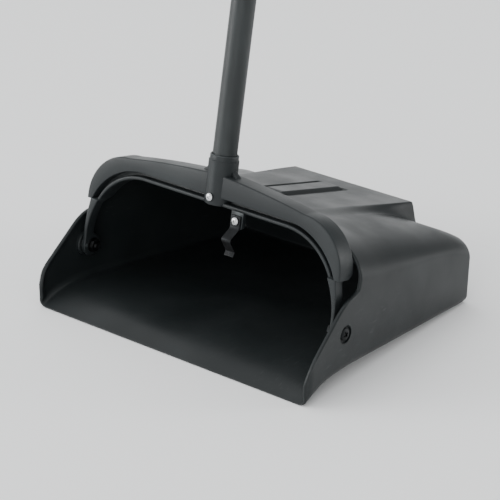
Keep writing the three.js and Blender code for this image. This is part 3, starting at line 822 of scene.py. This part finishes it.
# ---- Materials ----
class Look:
    """A Principled material being built, with short calls for the nodes that these looks share."""

    def __init__(self, name):
        self.material = bpy.data.materials.new(name)
        self.material.use_nodes = True
        self.tree = self.material.node_tree
        self.shader = self.tree.nodes["Principled BSDF"]
        self.place = self.tree.nodes.new("ShaderNodeTexCoord").outputs["Object"]

    def node(self, kind, **settings):
        made = self.tree.nodes.new(f"ShaderNode{kind}")
        for key, value in settings.items():
            setattr(made, key, value)
        return made

    def link(self, output, socket):
        self.tree.links.new(output, socket)

    def scaled(self, scale):
        mapping = self.node("Mapping")
        mapping.inputs["Scale"].default_value = scale
        self.link(self.place, mapping.inputs["Vector"])
        return mapping.outputs["Vector"]

    def noise(self, scale, detail=3.0, stretch=(1, 1, 1)):
        texture = self.node("TexNoise")
        texture.inputs["Scale"].default_value = scale
        texture.inputs["Detail"].default_value = detail
        self.link(self.scaled(stretch), texture.inputs["Vector"])
        return texture.outputs["Fac"]

    def mapped(self, value, low, high, to_low=0.0, to_high=1.0):
        span = self.node("MapRange", interpolation_type="SMOOTHSTEP")
        ends = {"From Min": low, "From Max": high, "To Min": to_low, "To Max": to_high}
        for socket, number in ends.items():
            span.inputs[socket].default_value = number
        self.link(value, span.inputs["Value"])
        return span.outputs["Result"]

    def times(self, first, second):
        product = self.node("Math", operation="MULTIPLY")
        self.link(first, product.inputs[0])
        self.link(second, product.inputs[1])
        return product.outputs["Value"]

    def mixed(self, first, second, share):
        mix = self.node("Mix", data_type="RGBA")
        for socket, value in ((mix.inputs["A"], first), (mix.inputs["B"], second)):
            if isinstance(value, tuple):
                socket.default_value = (*value, 1)
            else:
                self.link(value, socket)
        self.link(share, mix.inputs["Factor"])
        return mix.outputs["Result"]

    def bump(self, height, strength, distance, under=None):
        bump = self.node("Bump")
        bump.inputs["Strength"].default_value = strength
        bump.inputs["Distance"].default_value = distance
        self.link(height, bump.inputs["Height"])
        if under is not None:
            self.link(under, bump.inputs["Normal"])
        return bump.outputs["Normal"]

    def finish(self, colour=None, roughness=None, normal=None, **constants):
        outputs = ((colour, "Base Color"), (roughness, "Roughness"), (normal, "Normal"))
        for output, socket in outputs:
            if output is not None:
                self.link(output, self.shader.inputs[socket])
        for socket, value in constants.items():
            self.shader.inputs[socket.replace("_", " ")].default_value = value
        return self.material


def mottled(look, base, light, scale=14.0):
    """A base colour that wanders slowly towards a lighter one."""
    return look.mixed(base, light, look.mapped(look.noise(scale, 4), 0.35, 0.75))


def worn_edges(look, colour, worn, reach=(0.53, 0.62)):
    """Edges rubbed lighter, in patches."""
    edge = look.mapped(look.node("NewGeometry").outputs["Pointiness"], *reach)
    patches = look.mapped(look.noise(60), 0.35, 0.7)
    return look.mixed(colour, worn, look.times(edge, patches))


def moulded_plastic(name, base, light, worn, roughness, scratches):
    """Moulded black plastic: fine grain, slow mottling, sweeping scratches and rubbed edges."""
    look = Look(name)
    colour = mottled(look, base, light)
    scratch_lines = look.mapped(look.noise(95, 2, (9, 0.5, 4)), 0.62, 0.74)
    scratch_patches = look.mapped(look.noise(11), 0.45, 0.7, 0, scratches)
    marks = look.times(scratch_lines, scratch_patches)
    colour = look.mixed(colour, worn, marks)
    colour = worn_edges(look, colour, worn)
    rough = look.mapped(look.noise(22, 4), 0.3, 0.7, roughness - 0.06, roughness + 0.07)
    flow = look.bump(look.noise(16, 2), 0.12, 0.004)
    grain = look.bump(look.noise(900, 2), 0.25, 0.0004, flow)
    normal = look.bump(marks, 0.2, 0.0002, grain)
    return look.finish(colour, rough, normal, Specular_IOR_Level=0.22)


def coated_tube():
    """Smooth vinyl on the tube, with faint draw lines along it and slight scuffs."""
    look = Look("handle_coat")
    colour = mottled(look, (0.011, 0.0135, 0.014), (0.018, 0.0215, 0.022), 9)
    lines = look.mapped(look.noise(260, 2, (1, 1, 0.012)), 0.3, 0.7)
    patches = look.mapped(look.noise(20), 0.3, 0.8, 0, 0.7)
    colour = look.mixed(colour, (0.026, 0.031, 0.032), look.times(lines, patches))
    streaks = look.mapped(look.noise(70, 3, (3, 3, 0.4)), 0.62, 0.72)
    scuffs = look.times(streaks, look.mapped(look.noise(14), 0.5, 0.7))
    colour = look.mixed(colour, (0.045, 0.05, 0.05), scuffs)
    rough = look.mapped(lines, 0, 1, 0.42, 0.5)
    drawn = look.bump(lines, 0.1, 0.0003)
    normal = look.bump(look.noise(1100, 2), 0.08, 0.0002, drawn)
    return look.finish(colour, rough, normal, Specular_IOR_Level=0.35)


def soft_vinyl():
    """Matt vinyl for the grip, cap and spacers."""
    look = Look("soft_vinyl")
    colour = mottled(look, (0.012, 0.013, 0.0135), (0.022, 0.024, 0.0245), 30)
    colour = worn_edges(look, colour, (0.05, 0.05, 0.05))
    rough = look.mapped(look.noise(60, 4), 0.3, 0.7, 0.52, 0.68)
    normal = look.bump(look.noise(1500, 3), 0.4, 0.0003)
    return look.finish(colour, rough, normal, Specular_IOR_Level=0.4)


def steel(name, base, stain, roughness):
    """Plated steel with faint brushing and stains."""
    look = Look(name)
    colour = look.mixed(base, stain, look.mapped(look.noise(120, 5), 0.45, 0.75))
    brushed = look.noise(700, 3, (1, 1, 0.1))
    rough = look.mapped(brushed, 0.25, 0.75, roughness - 0.08, roughness + 0.12)
    return look.finish(colour, rough, look.bump(brushed, 0.15, 0.0002), Metallic=1.0)


# ---- The studio ----
CAMERA_AZIMUTH, CAMERA_ELEVATION, CAMERA_ROLL = 40.318, 23.154, 0.263
CAMERA_TARGET, CAMERA_DISTANCE = (-0.00596, -0.0110, 0.05684), 2.00047
CAMERA_SENSOR, CAMERA_LENS = 36, 165.70548
# The direction towards which the studio is dimmer, and where the dimming starts and ends.
DIM_SIDE, DIM_START, DIM_END = (0.75, 0.6, 0.28), 0.1, 0.7


def make_camera():
    """The camera at the photo's angle."""
    azimuth, elevation = math.radians(CAMERA_AZIMUTH), math.radians(CAMERA_ELEVATION)
    back = Vector((math.sin(azimuth) * math.cos(elevation),
                   -math.cos(azimuth) * math.cos(elevation),
                   math.sin(elevation)))
    data = bpy.data.cameras.new("camera")
    data.sensor_width = CAMERA_SENSOR
    data.lens = CAMERA_LENS
    camera = bpy.data.objects.new("camera", data)
    turn = (-back).to_track_quat("-Z", "Y").to_matrix().to_4x4()
    roll = Matrix.Rotation(math.radians(CAMERA_ROLL), 4, "Z")
    place = Matrix.Translation(Vector(CAMERA_TARGET) + back * CAMERA_DISTANCE)
    camera.matrix_world = place @ turn @ roll
    bpy.context.scene.collection.objects.link(camera)
    bpy.context.scene.camera = camera


def make_floor():
    """A plain pale floor under the object."""
    mesh = bpy.data.meshes.new("floor")
    reach = 6.0
    corners = [(-reach, -reach, 0), (reach, -reach, 0), (reach, reach, 0), (-reach, reach, 0)]
    mesh.from_pydata(corners, [], [(0, 1, 2, 3)])
    floor = bpy.data.objects.new("floor", mesh)
    bpy.context.scene.collection.objects.link(floor)
    look = Look("floor_white")
    look.shader.inputs["Base Color"].default_value = (0.93, 0.93, 0.93, 1)
    look.shader.inputs["Roughness"].default_value = 0.9
    look.shader.inputs["Specular IOR Level"].default_value = 0.1
    mesh.materials.append(look.material)


def make_area_light(name, place, aim, size, power):
    """A soft light at a place, aimed at a point, in metres and watts."""
    data = bpy.data.lights.new(name, "AREA")
    data.shape = "RECTANGLE"
    data.size, data.size_y = size
    data.energy = power
    light = bpy.data.objects.new(name, data)
    turn = (Vector(aim) - Vector(place)).to_track_quat("-Z", "Y").to_matrix().to_4x4()
    light.matrix_world = Matrix.Translation(place) @ turn
    bpy.context.scene.collection.objects.link(light)


def make_world(bright, dim):
    """A pale studio, dimmer on the side behind and to the right of the object."""
    world = bpy.data.worlds.new("studio")
    world.use_nodes = True
    nodes, links = world.node_tree.nodes, world.node_tree.links
    place = nodes.new("ShaderNodeTexCoord")
    side = nodes.new("ShaderNodeVectorMath")
    side.operation = "DOT_PRODUCT"
    side.inputs[1].default_value = DIM_SIDE
    level = nodes.new("ShaderNodeMapRange")
    level.interpolation_type = "SMOOTHSTEP"
    ends = {"From Min": DIM_START, "From Max": DIM_END, "To Min": bright, "To Max": dim}
    for socket, number in ends.items():
        level.inputs[socket].default_value = number
    background = nodes["Background"]
    background.inputs["Color"].default_value = (0.97, 0.99, 1, 1)
    links.new(place.outputs["Generated"], side.inputs[0])
    links.new(side.outputs["Value"], level.inputs["Value"])
    links.new(level.outputs["Result"], background.inputs["Strength"])
    bpy.context.scene.world = world


# ---- The whole object ----
def dress(piece, material, node, body):
    """Gives a piece its material and its body, and hides the CAD node that it stands for."""
    piece.data.materials.clear()
    piece.data.materials.append(material)
    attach(piece, body)
    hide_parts(node)


def make_object_pieces():
    """Every piece of the dust pan, each one dressed and standing for its CAD node."""
    pan_plastic = moulded_plastic("pan_plastic_look", (0.0100, 0.0122, 0.0128),
                                  (0.0150, 0.0178, 0.0185), (0.050, 0.056, 0.058), 0.38, 0.5)
    yoke_plastic = moulded_plastic("yoke_plastic_look", (0.013, 0.0155, 0.0165),
                                   (0.020, 0.0235, 0.0245), (0.06, 0.068, 0.07), 0.4, 0.3)
    coat, vinyl = coated_tube(), soft_vinyl()
    zinc = steel("zinc_look", (0.60, 0.61, 0.62), (0.42, 0.42, 0.41), 0.3)
    dark = steel("dark_steel_look", (0.020, 0.021, 0.022), (0.010, 0.010, 0.010), 0.5)
    dress(make_scoop(), pan_plastic, "pan_shell", "pan")
    dress(make_yoke(), yoke_plastic, "yoke", "handle")
    dress(make_tube(), zinc, "handle_tube", "handle")
    dress(make_sleeve(), coat, "handle_sleeve", "handle")
    dress(make_grip(), vinyl, "hand_grip", "handle")
    dress(make_cap(), vinyl, "hang_cap", "handle")
    place = facing_front(0, SCREW_U) @ at(0, 0, SOCKET_RADIUS + GAP)
    screw = make_small_screw("socket_screw_detailed", 9, place)
    dress(screw, zinc, "socket_screw", "handle")
    dress(make_catch_spring(), dark, "catch_spring", "handle")
    place = facing_front(TAB_X, TAB_U) @ at(0, 0, YOKE_HALF_DEPTH + 2 * GAP + SPRING_THICKNESS)
    screw = make_small_screw("catch_screw_detailed", 6, place)
    dress(screw, zinc, "catch_screw", "handle")
    for side, word in ((-1, "left"), (1, "right")):
        for node, piece in make_pivot(side, word).items():
            soft = node == "pivot_spacer"
            dress(piece, vinyl if soft else dark, f"{node}_{word}", "pan")


make_camera()
make_floor()
make_world(1.5, 0.55)
make_area_light("overhead", (-0.3, 0.2, 2.6), (0, 0, 0), (2.4, 2.4), 14)
make_area_light("key", (-2.3, -2.1, 0.8), (0, 0, 0.2), (1.8, 1.1), 60)
make_area_light("front", (1.1, -2.5, 0.9), (0, 0, 0.1), (0.6, 0.8), 12)
make_area_light("side", (1.9, 1.7, 0.6), (0, 0, 0.15), (0.8, 0.9), 22)
make_object_pieces()
